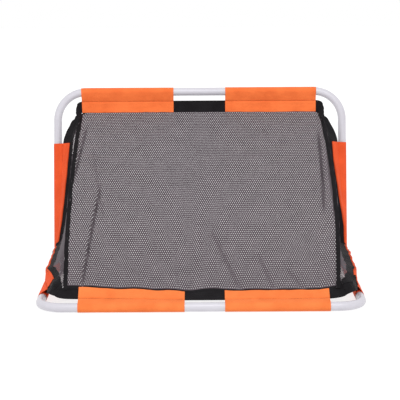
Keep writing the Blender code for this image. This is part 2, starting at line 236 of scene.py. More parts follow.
def add_to_scene(thing):
    bpy.context.scene.collection.objects.link(thing)


def as_array(grid):
    """A grid of points as an array of rows, columns and coordinates."""
    return np.array([[tuple(p) for p in row] for row in grid])


# -------- tube axes
class Rail:
    """The axis of a U-shaped tube: a bar along X, two bends and two legs.

    A place on it is a distance from the middle of the bar, below zero on the left.
    The flap on a sleeve points inwards, turned towards the net by the twist at that place.
    """

    def __init__(self, bar, along, net_side, length, bend, twists, waves, slack):
        self.bar = bar
        self.along = along
        self.net_side = net_side
        self.bend = bend
        self.straight = LEG_X - bend
        self.leg = self.straight + bend * math.pi / 2
        self.end = self.leg + length - bend
        self.twists = twists
        self.waves = waves
        self.slack = slack

    def from_corner(self, distance):
        """The place on a leg at this distance from the corner where the two frames' axes meet."""
        return self.end - distance

    def axes(self, place):
        """The axis point, the inward normal and the net-side normal at a place."""
        side = -1 if place < 0 else 1
        turn = min(max((abs(place) - self.straight) / self.bend, 0.0), math.pi / 2)
        across = min(abs(place), self.straight) + self.bend * math.sin(turn)
        along = self.bend * (1 - math.cos(turn)) + max(abs(place) - self.leg, 0.0)
        centre = self.bar + side * across * X + along * self.along
        inward = math.cos(turn) * self.along - side * math.sin(turn) * X
        return centre, inward, self.net_side

    def twist(self, place):
        """How far the flap turns from the frame's plane, evenly between the given places."""
        twists = self.twists[-1 if place < 0 else 1]
        place = abs(place)
        for (low, first), (high, second) in zip(twists, twists[1:]):
            if place <= high:
                share = min(max((place - low) / (high - low), 0.0), 1.0)
                return math.radians(first + (second - first) * share)
        return math.radians(twists[-1][1])

    def drawn(self, place):
        """From 0 to 1, how fully the slack of a bend is felt at a place."""
        first, last = self.slack[:2]
        share = min(max((abs(place) - first) / (last - first), 0.0), 1.0)
        return math.sin(math.pi * share) ** 2

    def flap(self, place, reach, offset=0.0):
        """A point at a reach from the axis in the flap's direction, and an offset across it.

        Beyond the stitching the cloth hangs in loose waves, which die out at the hinge.
        """
        centre, inward, normal = self.axes(place)
        bent = 1 - max(inward.dot(self.along), 0.0)
        inward = inward.lerp(self.along, 0.8 * (1 - min(bent / 0.15, 1.0))).normalized()
        turn = self.twist(place)
        free = ease((reach - TUBE_R) / (WEBBING[0] - TUBE_R))
        reach += free * self.slack[2] * self.drawn(place)
        loose = ease((reach - STITCH) / (FLAP_END - STITCH))
        loose *= ease((self.from_corner(CORNER_REACH) - abs(place)) / 0.08)
        seed = self.bend * 100
        reach += loose * self.waves * ripple(place * 11, seed)
        offset += loose * self.waves * 1.4 * ripple(place * 15, seed + 5)
        out = math.cos(turn) * inward + math.sin(turn) * normal
        across = math.cos(turn) * normal - math.sin(turn) * inward
        return centre + reach * out + offset * across


def ground_rail():
    bar = Vector((0, REAR_Y, CORNER.z))
    axes = (Vector((0, 1, 0)), Vector((0, 0, 1)))
    hang = (GROUND_TWISTS, GROUND_WAVES, GROUND_SLACK)
    return Rail(bar, *axes, GROUND_DEPTH, GROUND_BEND, *hang)


def upright_rail():
    bar = CORNER + UPRIGHT_LENGTH * POST_UP
    hang = (UPRIGHT_TWISTS, UPRIGHT_WAVES, UPRIGHT_SLACK)
    return Rail(bar, -POST_UP, POST_NET_SIDE, UPRIGHT_LENGTH, UPRIGHT_BEND, *hang)


def corner_point(side, reach, share, offset=0.0):
    """A point at a reach from both frames' axes, from the post at share 0 to the rail at share 1."""
    away = WEBBING_MID + CORNER_R
    centre = CORNER + Vector((side * LEG_X + offset, -CORNER_REACH, away))
    turn = -LEAN - (math.pi / 2 - LEAN) * share
    return centre + (away - reach) * Vector((0, math.cos(turn), math.sin(turn)))


# -------- meshes
def new_piece(name, vertices, faces, materials, uvs=None, indices=None):
    """A smooth-shaded object from vertices and faces, with its normals facing out."""
    mesh = bpy.data.meshes.new(name)
    mesh.from_pydata([tuple(v) for v in vertices], [], faces)
    if uvs is not None:
        layer = mesh.uv_layers.new(name="cloth")
        corners = np.empty(len(mesh.loops), dtype=np.int32)
        mesh.loops.foreach_get("vertex_index", corners)
        layer.data.foreach_set("uv", np.asarray(uvs, dtype=np.float32)[corners].ravel())
    for material in materials:
        mesh.materials.append(material)
    if indices is not None:
        mesh.polygons.foreach_set("material_index", indices)
    bm = bmesh.new()
    bm.from_mesh(mesh)
    bmesh.ops.recalc_face_normals(bm, faces=bm.faces)
    bm.to_mesh(mesh)
    bm.free()
    mesh.shade_smooth()
    mesh.set_sharp_from_angle(angle=math.radians(50))
    piece = bpy.data.objects.new(name, mesh)
    add_to_scene(piece)
    return piece


def surface_normals(points, closed):
    """Unit normals of a grid of points, whose columns may close into a loop."""
    down = np.gradient(points, axis=0)
    if closed:
        over = np.roll(points, -1, axis=1) - np.roll(points, 1, axis=1)
    else:
        over = np.gradient(points, axis=1)
    normal = np.cross(down, over)
    return normal / np.maximum(np.linalg.norm(normal, axis=2, keepdims=True), 1e-12)


def lengths_along(points):
    """The running length down each column of a grid of points."""
    gaps = np.linalg.norm(np.diff(points, axis=0), axis=2)
    return np.vstack([np.zeros(points.shape[1]), np.cumsum(gaps, axis=0)])


def sheet(name, grid, thickness, materials, closed=False, threads=None):
    """A closed sheet of even thickness about a grid of points, with its sewing threads."""
    points = as_array(grid)
    rows, columns = points.shape[:2]
    half = surface_normals(points, closed) * thickness / 2
    vertices = np.concatenate([(points + half).reshape(-1, 3), (points - half).reshape(-1, 3)])
    along = lengths_along(points)
    across = lengths_along(points.transpose(1, 0, 2)).T
    uvs = np.tile(np.stack([along, across], axis=2).reshape(-1, 2), (2, 1))
    back = rows * columns
    faces = []
    around = columns if closed else columns - 1
    for i in range(rows - 1):
        for j in range(around):
            k = (j + 1) % columns
            top = i * columns
            low = top + columns
            quad = (top + j, top + k, low + k, low + j)
            faces.append(quad)
            faces.append(tuple(back + v for v in quad[::-1]))
    rim = []
    for top in (0, back - columns):
        rim += [(top + j, top + (j + 1) % columns) for j in range(around)]
    if not closed:
        for j in (0, columns - 1):
            rim += [(top + j, top + columns + j) for top in range(0, back - columns, columns)]
    faces += [(a, b, back + b, back + a) for a, b in rim]
    indices = [0] * len(faces)
    if threads:
        start = len(vertices)
        vertices = np.concatenate([vertices, np.array(threads[0])])
        uvs = np.concatenate([uvs, np.zeros((len(threads[0]), 2))])
        faces += [tuple(start + v for v in face) for face in threads[1]]
        indices += [1] * len(threads[1])
    return new_piece(name, vertices, faces, materials, uvs, indices)


def add_stitch(threads, start, end, out):
    """One stitch: a thread from start to end, arched a little outwards, added to the lists."""
    vertices, faces = threads
    first = len(vertices)
    along = (end - start).normalized()
    across = along.cross(out).normalized()
    sides = 6
    for share, size in ((0.08, 0.7), (0.5, 1.0), (0.92, 0.7)):
        centre = start.lerp(end, share) + (size - 0.7) * THREAD_R * out
        radius = size * THREAD_R
        for i in range(sides):
            turn = 2 * math.pi * i / sides
            spoke = math.cos(turn) * across + math.sin(turn) * out
            vertices.append(tuple(centre + radius * spoke))
    for ring in range(2):
        for i in range(sides):
            k = (i + 1) % sides
            low = first + ring * sides
            faces.append((low + i, low + k, low + sides + k, low + sides + i))
    for low, tip in ((first, start), (first + 2 * sides, end)):
        vertices.append(tuple(tip - 0.6 * THREAD_R * out))
        faces += [(low + i, low + (i + 1) % sides, len(vertices) - 1) for i in range(sides)]


# -------- sleeves
def half_section():
    """One side of a sleeve's section from the flap's edge to the tube, as (reach, offset)."""
    tangent = math.acos(WRAP_MID / STITCH) + PINCH_MID / STITCH
    flap = [(FLAP_END + EDGE_R, 0.35 * FLAP_MID)]
    flap += [(reach, FLAP_MID) for reach in spread(FLAP_END - EDGE_R, STITCH + PINCH_W, 11)]
    touch = Vector((WRAP_MID * math.cos(tangent), WRAP_MID * math.sin(tangent)))
    pinch = Vector((STITCH, PINCH_MID))
    run = [tuple(pinch.lerp(touch, i / 6)) for i in range(7)]
    return flap + run, tangent


def wrap_arc(first, last, count):
    """Points of the sleeve's section round the tube, as (reach, offset)."""
    turns = spread(first, last, count)
    return [(WRAP_MID * math.cos(t), WRAP_MID * math.sin(t)) for t in turns]


def hump(distance, middle, width):
    """A smooth rise to 1 at a distance from a seam, and nothing at the seam itself."""
    return math.exp(-((distance - middle) / width) ** 2) * min(distance / 0.002, 1)


def crumple(place, reach, offset):
    """How far the cloth stands off its plain section: puckers by the seams, soft folds elsewhere."""
    face = 1 if offset > 0 else -1
    from_stitch = abs(reach - STITCH)
    from_edge = abs(reach - EDGE_STITCH)
    pucker = hump(from_stitch, 0.004, 0.004) + 0.6 * hump(from_edge, 0.003, 0.003)
    beat = 0.5 + 0.5 * ripple(place * 80, face * 3 + reach * 20)
    folds = 0.5 + 0.5 * ripple(place * 22 + reach * 30, reach * 90, face * 7)
    free = ease((reach - 0.004) / 0.012) * min(from_stitch / 0.004, 1)
    return PUCKER_H * pucker * beat + FOLD_H * folds * free


def sleeve_point(rail, place, reach, offset, first, last):
    """A point on a sleeve, drawn in a little at its open ends."""
    end = min(abs(place - first), abs(place - last))
    hem = END_HEM_H * math.exp(-((end - END_HEM_IN) / 0.002) ** 2)
    out = crumple(place, reach, offset)
    if reach > STITCH:
        return rail.flap(place, reach, offset + math.copysign(out - hem, offset))
    size = math.hypot(reach, offset)
    grow = 1 + out / size
    if reach < 0.012:
        grow += 0.00025 * (0.5 + 0.5 * ripple(place * 30, math.atan2(offset, reach) * 2)) / size
    return rail.flap(place, reach * grow, offset * grow)


def sleeve_grid(rail, section, first, last):
    places = steps(first, last, SLEEVE_STEP)
    return [[sleeve_point(rail, p, a, b, first, last) for a, b in section] for p in places]


def stitching(rail, first, last):
    """Both lines of stitches on both faces of a flap."""
    threads = ([], [])
    count = int((last - first - 0.004) / THREAD_PITCH)
    for reach, middle in ((STITCH, PINCH_MID), (EDGE_STITCH, FLAP_MID)):
        for face in (1, -1):
            offset = face * (middle + CLOTH_T / 2 + 0.4 * THREAD_R)
            for i in range(count):
                start = first + 0.002 + i * THREAD_PITCH
                ends = [rail.flap(start + shift, reach, offset) for shift in (0.0, THREAD_LENGTH)]
                out = (rail.flap(start, reach, 2 * offset) - ends[0]).normalized()
                add_stitch(threads, *ends, out)
    return threads


def make_sleeve(name, rail, first, last, body, press, materials):
    """A sleeve as one loop of cloth, or as a wrap round the tube and a separate flap."""
    near, tangent = half_section()
    far = [(reach, -offset) for reach, offset in near[::-1]]
    threads = stitching(rail, first, last)

    def made(suffix, section, **kind):
        grid = sleeve_grid(rail, section, first, last)
        return sheet(name + suffix, grid, CLOTH_T, materials, **kind)

    flap_w = 2 * (FLAP_END - STITCH + math.sqrt(STITCH ** 2 - WRAP_MID ** 2))
    if press is None:
        section = near + wrap_arc(tangent, 2 * math.pi - tangent, 22)[1:-1] + far
        girth = flap_w + 2 * (math.pi - tangent) * WRAP_MID
        pieces = [(made("_cloth", section, closed=True, threads=threads), girth)]
    else:
        arc = wrap_arc(tangent, tangent + 2 * math.pi, 32)[:-1]
        wrap = made("_wrap", arc, closed=True)
        flap = made("_flap", far + near, threads=threads)
        pieces = [(wrap, 2 * math.pi * WRAP_MID), (flap, flap_w)]
    for piece, width in pieces:
        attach(piece, body)
        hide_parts(name)
    if press is not None:
        press(pieces[1][0])


def make_sleeves(rails, cloth, painted_light_rear_cloth, painted_shade_leg_cloth, thread):
    """The eight orange sleeves, on the top and rear bars, the posts and the side rails."""
    ground, upright = rails
    for label, side in SIDES.items():
        bars = (
            ("top", upright, "upright_frame", TOP_SLEEVES[side], cloth),
            # The rear sleeves take the lighter cloth: painted light for their upward faces.
            ("rear", ground, "ground_frame", REAR_SLEEVES[side], painted_light_rear_cloth),
        )
        for where, rail, body, (near, far), material in bars:
            ends = sorted((side * near, side * far))
            make_sleeve(f"{where}_sleeve_{label}", rail, *ends, body, None, [material, thread])
        legs = (
            ("post", upright, "upright_frame", POST_SLEEVE, press_on_posts),
            ("side", ground, "ground_frame", SIDE_SLEEVE, press_on_ground),
        )
        for where, rail, body, (low, high), press in legs:
            name = f"{where}_sleeve_{label}"
            ends = sorted((side * rail.from_corner(low), side * rail.from_corner(high)))
            # The post and side sleeves take the darker, redder cloth: painted shade for sleeves that
            # catch less light.
            make_sleeve(name, rail, *ends, body, press, [painted_shade_leg_cloth, thread])


# -------- own meshes and baked placement
def press_on_ground(piece):
    """Gives a piece of cloth on the ground frame its own copy of its mesh."""
    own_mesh(piece)


def press_on_posts(piece):
    """Gives a piece of cloth on the posts its own copy of its mesh."""
    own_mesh(piece)


def hang_between(piece):
    """Bakes the placement of cloth that hangs between the ground frame and the upright frame into
    its mesh.
    """
    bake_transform(piece)


# -------- webbing
def tape_grid(rail, first, last):
    """The webbing's grid, drawn narrower and wrinkled where it cuts across a bend."""
    grid = []
    for place in steps(first, last, TAPE_STEP):
        drawn = rail.drawn(place)
        low = WEBBING[0] + 0.9 * rail.slack[2] * drawn * (1 + 0.3 * ripple(place * 60, 3.0))
        row = []
        for j, reach in enumerate(spread(low, WEBBING[1] + TAPE_LAP, TAPE_CELLS)):
            row.append(rail.flap(place, reach, 0.003 * drawn * ripple(place * 70, j * 0.4)))
        grid.append(row)
    return grid


def make_tape(name, grid, body, node, press, materials):
    """A length of webbing that rides a frame."""
    piece = sheet(name, grid, WEBBING_T, materials)
    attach(piece, body)
    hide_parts(node)
    if press is not None:
        press(piece)


def make_webbing(rails, materials):
    """The webbing round both frames, in a bar piece and two leg pieces each, and two corner pieces.
    """
    frames = (
        ("upper_webbing", rails[1], "upright_frame", press_on_posts, UPPER_SPLIT),
        ("lower_webbing", rails[0], "ground_frame", press_on_ground, LOWER_SPLIT),
    )
    for node, rail, body, press, split in frames:
        end = rail.from_corner(CORNER_REACH + GAP)
        grid = tape_grid(rail, -split, split)
        make_tape(node + "_bar", grid, body, node, None, materials)
        for label, side in SIDES.items():
            grid = tape_grid(rail, side * split, side * end)
            make_tape(f"{node}_leg_{label}", grid, body, node, press, materials)
    for label, side in SIDES.items():
        node = f"corner_webbing_{label}"
        reaches = spread(*WEBBING, TAPE_CELLS)
        grid = [[corner_point(side, r, share) for r in reaches] for share in spread(0, 1, 16)]
        make_tape(node + "_tape", grid, "ground_frame", node, press_on_ground, materials)


# -------- net
def net_end(rail, x):
    """Where the back net meets a frame's webbing, at a distance from the centre plane."""
    radius = rail.bend - NET_EDGE
    past = min(max(abs(x) - rail.straight, 0.0), radius)
    place = min(abs(x), rail.straight) + rail.bend * math.asin(past / radius)
    return rail.flap(math.copysign(place, x), NET_EDGE)


def crease_height(x, along, narrow=1.0):
    """How far the folds pulled into the net stand up at a place on it."""
    height = 0.0
    for (x0, a0), (x1, a1), rise, width in CREASES:
        run = Vector((x1 - x0, a1 - a0))
        place = Vector((x - x0, along - a0))
        share = place.dot(run) / run.length_squared
        off = abs(place.x * run.y - place.y * run.x) / run.length
        fade = ease(share / 0.25) * ease((1.15 - share) / 0.3)
        height += rise * fade * math.exp(-((off / (width * narrow)) ** 2))
    return height


def net_point(rails, x, share, lift=0.0):
    """A point on the sagging back net: share 0 is the rear bar's end and 1 is the top bar's."""
    ground, upright = rails
    low = net_end(ground, x)
    high = net_end(upright, x)
    slope = (high - low).normalized()
    down = slope.cross(X)
    middle = 1 - (x / SEAM_X) ** 2
    hang = 4 * share * (1 - share)
    sag = (SEAM_SAG + (NET_SAG - SEAM_SAG) * middle) * hang
    sag += 0.003 * hang * ripple(x * 5, share * 4, 2.0)
    sag -= crease_height(x, share * (high - low).length)
    side = -1 if x < 0 else 1
    base, bow = SEAM_SHAPES[side]
    reach = base + bow * math.sin(math.pi * min(max(share, 0.0), 1.0))
    point = low.lerp(high, share) - (sag - lift) * down
    point.x = x * (1 + (reach / SEAM_X - 1) * min(abs(x) / SEAM_X, 1) ** 3)
    return point


class Surface:
    """A grid of points read between its knots, with its normals."""

    def __init__(self, grid):
        self.points = as_array(grid)
        self.normals = surface_normals(self.points, False)

    def read(self, array, u, v):
        rows, columns = array.shape[:2]
        row = np.clip(np.asarray(v) * (rows - 1), 0, rows - 1)
        column = np.clip(np.asarray(u) * (columns - 1), 0, columns - 1)
        i = np.minimum(row.astype(int), rows - 2)
        j = np.minimum(column.astype(int), columns - 2)
        a = (row - i)[:, None]
        b = (column - j)[:, None]
        low = array[i, j] * (1 - b) + array[i, j + 1] * b
        high = array[i + 1, j] * (1 - b) + array[i + 1, j + 1] * b
        return low * (1 - a) + high * a

    def place(self, uv, lift):
        u, v = np.array(uv).T
        return self.read(self.points, u, v) + lift * self.read(self.normals, u, v)


def drawn_shut(u, v):
    """How far the holes of the back net are drawn shut, most along the sharpest creases."""
    x = SEAM_X * (2 * u - 1)
    along = v * (SLOPE_ENDS[1] - SLOPE_ENDS[0]).length
    shut = min(crease_height(x, along, DRAWN_NARROW) / DRAWN_H, 1.0)
    return shut * (1 + 0.3 * ripple(u * 60, v * 60))


def mesh_net(name, grid, cells, hole, material, shut=None):
    """A knitted net: two layers of long diamonds over a surface, joined round every hole."""
    across, along = cells
    surface = Surface(grid)
    knots = {}
    for i in range(across + 1):
        for j in range(along):
            knots["p", i, j] = (i / across, (j + 0.5) / along)
    for i in range(across):
        for j in range(along + 1):
            knots["q", i, j] = ((i + 0.5) / across, j / along)
    for i in (0, across):
        for j in (0, along):
            knots["k", i, j] = (i / across, j / along)
    number = {key: n for n, key in enumerate(knots)}
    back = len(number)
    holes = []
    faces = []

    def both(*corners):
        """A face on the front layer and its twin on the back, which share the holes' corners."""
        front = [number[c] if isinstance(c, tuple) else 2 * back + c for c in corners]
        faces.append(tuple(front))
        faces.append(tuple(v + back if v < back else v for v in front[::-1]))

    def cell(u, v, right, top, left, bottom):
        first = len(holes)
        size = hole
        if shut is not None:
            size += (DRAWN_SHARE - hole) * min(max(shut(u, v), 0.0), 1.0)
        for a, b in ((1, 0), (0, 1), (-1, 0), (0, -1)):
            holes.append((u + 0.5 * size * a / across, v + 0.5 * size * b / along))
        knots_round = (right, top, left, bottom)
        for n in range(4):
            k = (n + 1) % 4
            both(knots_round[n], knots_round[k], first + k, first + n)

    def wall(a, b):
        faces.append((number[b], number[a], number[a] + back, number[b] + back))

    for i in range(across):
        for j in range(along):
            corners = (("p", i + 1, j), ("q", i, j + 1), ("p", i, j), ("q", i, j))
            cell((i + 0.5) / across, (j + 0.5) / along, *corners)
    for i in range(1, across):
        for j in range(1, along):
            corners = (("q", i, j), ("p", i, j), ("q", i - 1, j), ("p", i, j - 1))
            cell(i / across, j / along, *corners)
    for i in range(1, across):
        both(("q", i - 1, 0), ("q", i, 0), ("p", i, 0))
        both(("q", i, along), ("q", i - 1, along), ("p", i, along - 1))
        wall(("q", i - 1, 0), ("q", i, 0))
        wall(("q", i, along), ("q", i - 1, along))
    for j in range(1, along):
        both(("p", 0, j), ("p", 0, j - 1), ("q", 0, j))
        both(("p", across, j - 1), ("p", across, j), ("q", across - 1, j))
        wall(("p", 0, j), ("p", 0, j - 1))
        wall(("p", across, j - 1), ("p", across, j))
    for i, near_i in ((0, 0), (across, across - 1)):
        for j, near_j in ((0, 0), (along, along - 1)):
            ends = [("q", near_i, j), ("p", i, near_j)]
            if (i == 0) != (j == 0):
                ends.reverse()
            both(("k", i, j), *ends)
            wall(("k", i, j), ends[0])
            wall(ends[1], ("k", i, j))
    half = NET_T / 2
    flat = list(knots.values())
    vertices = np.concatenate(
        [surface.place(flat, half), surface.place(flat, -half), surface.place(holes, 0.0)]
    )
    return new_piece(name, vertices, faces, [material])


def net_border(rails, side):
    """The side net's outer edge, as two runs that meet in the middle of the hinge corner."""
    ground, upright = rails
    last_post = upright.from_corner(CORNER_REACH)
    last_rail = ground.from_corner(CORNER_REACH)
    post = steps(SIDE_NET_STARTS["upright"], last_post, SIDE_STEP)
    rail = steps(SIDE_NET_STARTS["ground"], last_rail, SIDE_STEP)
    front = [upright.flap(side * place, NET_EDGE) for place in post]
    front += [corner_point(side, NET_EDGE, i / 8) for i in range(1, 5)]
    rear = [corner_point(side, NET_EDGE, i / 8) for i in range(4, 8)]
    rear += [ground.flap(side * place, NET_EDGE) for place in reversed(rail)]
    return front, rear


def turned_in(side, place, run, inside):
    """How far the side net is drawn towards the goal's middle, just inside its outer edge."""
    top, bottom = TURN_IN[side]
    depth = top + (bottom - top) * ease(place / 0.45)
    depth *= ease(run / 0.10) * ease((1 - place) / 0.2)
    if inside < HEM_RUN:
        return depth * math.sin(math.pi / 2 * inside / HEM_RUN)
    return depth * max(1 - (inside - HEM_RUN) / (run - HEM_RUN), 0.0)


def side_grids(rails, side):
    """The side net's two halves as grids of points, ruled from the seam to the outer edge."""
    front, rear = net_border(rails, side)
    border = front + rear[1:]
    lengths = [0.0]
    for first, second in zip(border, border[1:]):
        lengths.append(lengths[-1] + (second - first).length)
    low, high = SIDE_NET_SPAN
    rows = []
    for point, length in zip(border, lengths):
        share = high - (high - low) * length / lengths[-1]
        seam = net_point(rails, side * SEAM_X, share) + side * 0.5 * SEAM_W * X
        row = []
        run = (point - seam).length
        for column in spread(0, 1, SIDE_COLUMNS):
            billow = 0.004 * math.sin(math.pi * column) * ease(run / 0.2)
            billow += turned_in(side, length / lengths[-1], run, (1 - column) * run)
            billow += 0.003 * column * (1 - column) * ripple(length * 9, column * 3, side)
            row.append(seam.lerp(point, column) - side * billow * X)
        rows.append(row)
    return rows[: len(front)], rows[len(front) - 1 :]


def along_row(row, distance):
    """The point at a distance from the last point of a row, measured along it."""
    for second, first in zip(row[::-1], row[-2::-1]):
        gap = (second - first).length
        if distance <= gap:
            return second.lerp(first, distance / gap)
        distance -= gap
    return row[0]


def hem_grid(rows, side, widths):
    """The gathered edging sewn round the outer edge of a side net."""
    grid = []
    for i, row in enumerate(rows):
        place = i / (len(rows) - 1)
        first, last = widths
        width = first + (last - first) * ease(place)
        width *= 1 + 0.20 * ripple(place * 24, side * 2)
        width = min(width, 0.8 * (row[0] - row[-1]).length)
        points = []
        for share in spread(0, 1, 8):
            out = 0.0020 * share * ripple(place * 30, share * 2.5, side * 5)
            points.append(along_row(row, width * share - HEM_LAP) + side * out * X)
        grid.append(points)
    return grid


def make_back_net(rails, net, edging):
    """The sloping net, with a hem along each frame and a binding over each seam."""
    columns, rows = NET_GRID
    grid = [
        [net_point(rails, SEAM_X * (2 * j / columns - 1), i / rows) for j in range(columns + 1)]
        for i in range(rows + 1)
    ]
    back = mesh_net("back_net_mesh", grid, NET_CELLS, HOLE_SHARE["back"], net, drawn_shut)
    hang_between(back)
    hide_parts("back_net")
    length = (SLOPE_ENDS[1] - SLOPE_ENDS[0]).length
    sides = (("bottom", "ground_frame", 0, 1), ("top", "upright_frame", 1, -1))
    for where, body, start, way in sides:
        ends = [start + way * reach / length for reach in (-HEM_LAP, BACK_HEMS[where])]
        shares = spread(*ends, 6)
        xs = steps(-SEAM_X - HEM_BEYOND_SEAM, SEAM_X + HEM_BEYOND_SEAM, TAPE_STEP)
        grid = [[net_point(rails, x, share) for share in shares] for x in xs]
        hem = sheet(where + "_hem", grid, HEM_T, edging)
        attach(hem, body)
    for label, side in SIDES.items():
        make_binding(rails, label, side, edging)


def make_binding(rails, label, side, edging):
    """The wrinkled strip sewn over the seam between the back net and a side net."""
    grid = []
    for share in steps(*SEAM_ENDS, 0.008):
        width = SEAM_W * (1 + 0.25 * ripple(share * 30, side))
        loose = math.sin(math.pi * share)
        sway = 0.0025 * ripple(share * 12, side * 3) * loose
        row = []
        for j, column in enumerate(spread(-0.5, 0.5, 6)):
            across = column * width
            lift = 0.0015 * ripple(share * 45, j * 0.5, side) * loose
            point = net_point(rails, side * SEAM_X, share, lift)
            row.append(point + (side * across + sway) * X)
        grid.append(row)
    piece = sheet(f"seam_binding_{label}_tape", grid, SEAM_T, edging)
    hang_between(piece)
    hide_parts(f"seam_binding_{label}")
    return piece


def make_side_nets(rails, net, edging):
    """Both side nets, each in a front half on the posts and a rear half on the side rails."""
    halves = (
        ("front", "upright_frame", press_on_posts),
        ("rear", "ground_frame", press_on_ground),
    )
    for label, side in SIDES.items():
        grids = side_grids(rails, side)
        for (where, body, press), grid in zip(halves, grids):
            name = f"side_net_{label}_{where}"
            piece = mesh_net(name, grid, SIDE_CELLS, HOLE_SHARE["side"], net)
            strip = hem_grid(grid, side, SIDE_HEMS[label][where])
            hem = sheet(f"side_hem_{label}_{where}", strip, HEM_T, edging)
            for made, slot in ((piece, "net"), (hem, "webbing")):
                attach(made, body)
                press(made)
            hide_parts(f"side_net_{label}")
            points = as_array(grid)
            width = float(lengths_along(points.transpose(1, 0, 2))[-1].max())
            area = surface_area(points)


def surface_area(points):
    """The area of a grid of points."""
    down = np.diff(points, axis=0)[:, :-1]
    over = np.diff(points, axis=1)[:-1]
    return float(np.linalg.norm(np.cross(down, over), axis=2).sum())


# -------- tubes
def tube_mesh(name, rail, beyond, material):
    """A round hollow tube along a rail, its legs reaching this far beyond the corner."""
    last = rail.end + beyond
    bend = steps(rail.straight, rail.leg, 0.006)
    half = [0.0, 0.2, *bend, (rail.leg + last) / 2, last]
    places = [-p for p in half[:0:-1]] + half
    sides = 40
    vertices = []
    for radius, order in ((TUBE_R, places), (TUBE_R - TUBE_WALL, places[::-1])):
        for place in order:
            centre, inward, normal = rail.axes(place)
            for i in range(sides):
                turn = 2 * math.pi * i / sides
                spoke = math.cos(turn) * inward + math.sin(turn) * normal
                vertices.append(centre + radius * spoke)
    rings = 2 * len(places)
    faces = []
    for ring in range(rings):
        low = ring * sides
        high = (ring + 1) % rings * sides
        for i in range(sides):
            k = (i + 1) % sides
            faces.append((low + i, low + k, high + k, high + i))
    return new_piece(name, vertices, faces, [material])


def bore(piece, holes):
    """Cuts round holes along X, given as (centre, radius), and keeps the result."""
    bm = bmesh.new()
    for centre, radius in holes:
        place = Matrix.Translation(centre) @ Matrix.Rotation(math.pi / 2, 4, "Y")
        bmesh.ops.create_cone(
            bm, cap_ends=True, segments=24, radius1=radius, radius2=radius, depth=0.06, matrix=place
        )
    mesh = bpy.data.meshes.new("cutter")
    bm.to_mesh(mesh)
    bm.free()
    cutter = bpy.data.objects.new("cutter", mesh)
    add_to_scene(cutter)
    modifier = piece.modifiers.new("bore", "BOOLEAN")
    modifier.operation = "DIFFERENCE"
    modifier.object = cutter
    graph = bpy.context.evaluated_depsgraph_get()
    done = bpy.data.meshes.new_from_object(piece.evaluated_get(graph))
    piece.modifiers.clear()
    piece.data = done
    bpy.data.objects.remove(cutter)


def make_tubes(rails, steel):
    """Both bent tubes, with the holes for the rivets and the pivot bolts."""
    ground, upright = rails
    ground_end = PIVOT.y + WEB_Y - GAP - CORNER.y
    post_end = POST_BELOW_PIVOT - PIVOT_UP
    rivets = [
        (PIVOT + side * LEG_X * X + Vector((0, y, -PIVOT_RISE)), RIVET_R + GAP)
        for side in (-1, 1)
        for y in RIVET_YS
    ]
    bolts = [(PIVOT + side * LEG_X * X, BOLT_R + GAP) for side in (-1, 1)]
    for name, rail, beyond, holes, body in (
        ("ground_tube", ground, ground_end, rivets, "ground_frame"),
        ("upright_tube", upright, post_end, bolts, "upright_frame"),
    ):
        piece = tube_mesh(name + "_steel", rail, beyond, steel)
        bore(piece, holes)
        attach(piece, body)
        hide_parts(name)


# -------- materials
class Paint:
    """A Principled material with a few short calls to wire up its nodes."""

    def __init__(self, name, **sockets):
        self.material = bpy.data.materials.new(name)
        self.material.use_nodes = True
        self.tree = self.material.node_tree
        self.shader = self.tree.nodes["Principled BSDF"]
        for socket, value in sockets.items():
            self.shader.inputs[socket.replace("_", " ")].default_value = value

    def node(self, kind, **inputs):
        made = self.tree.nodes.new(kind)
        for socket, value in inputs.items():
            self.plug(made.inputs[socket.replace("_", " ")], value)
        return made

    def plug(self, socket, value):
        if isinstance(value, bpy.types.NodeSocket):
            self.tree.links.new(value, socket)
        else:
            socket.default_value = value

    def set(self, socket, value):
        self.plug(self.shader.inputs[socket], value)

    def math(self, operation, a, b=0.0):
        """The result of a Math node on two sockets or numbers."""
        made = self.tree.nodes.new("ShaderNodeMath")
        made.operation = operation
        self.plug(made.inputs[0], a)
        self.plug(made.inputs[1], b)
        return made.outputs[0]

    def noise(self, scale, detail=3.0):
        where = self.node("ShaderNodeTexCoord").outputs["Object"]
        made = self.node("ShaderNodeTexNoise", Vector=where, Scale=scale, Detail=detail)
        return made.outputs["Fac"]

    def cells(self, scale):
        where = self.node("ShaderNodeTexCoord").outputs["Object"]
        made = self.node("ShaderNodeTexVoronoi", Vector=where, Scale=scale)
        return made.outputs["Distance"]

    def ramp(self, value, low, high):
        """A value from 0 to 1 spread from low to high."""
        made = self.node("ShaderNodeMapRange", Value=value, To_Min=low, To_Max=high)
        return made.outputs["Result"]

    def mix(self, share, first, second):
        """A colour between two colours."""
        made = self.tree.nodes.new("ShaderNodeMix")
        made.data_type = "RGBA"
        self.plug(made.inputs["Factor"], share)
        for socket, colour in (("A", first), ("B", second)):
            found = [s for s in made.inputs if s.name == socket and s.type == "RGBA"][0]
            self.plug(found, (*colour, 1.0))
        return [s for s in made.outputs if s.type == "RGBA"][0]

    def bump(self, height, distance, strength):
        made = self.node("ShaderNodeBump", Height=height, Distance=distance, Strength=strength)
        self.set("Normal", made.outputs["Normal"])

    def cloth_place(self):
        """The running lengths along and across a sheet, in metres."""
        uv = self.tree.nodes.new("ShaderNodeUVMap")
        uv.uv_map = "cloth"
        apart = self.node("ShaderNodeSeparateXYZ", Vector=uv.outputs["UV"])
        return apart.outputs["X"], apart.outputs["Y"]

    def wave(self, place, pitch):
        """A sine from 0 to 1 along a length, once for each pitch."""
        turn = self.math("MULTIPLY", place, 2 * math.pi / pitch)
        return self.math("ADD", self.math("MULTIPLY", self.math("SINE", turn), 0.5), 0.5)

    def sum(self, first, second, share=1.0):
        """The first value plus a share of the second."""
        if share != 1.0:
            second = self.math("MULTIPLY", second, share)
        return self.math("ADD", first, second)


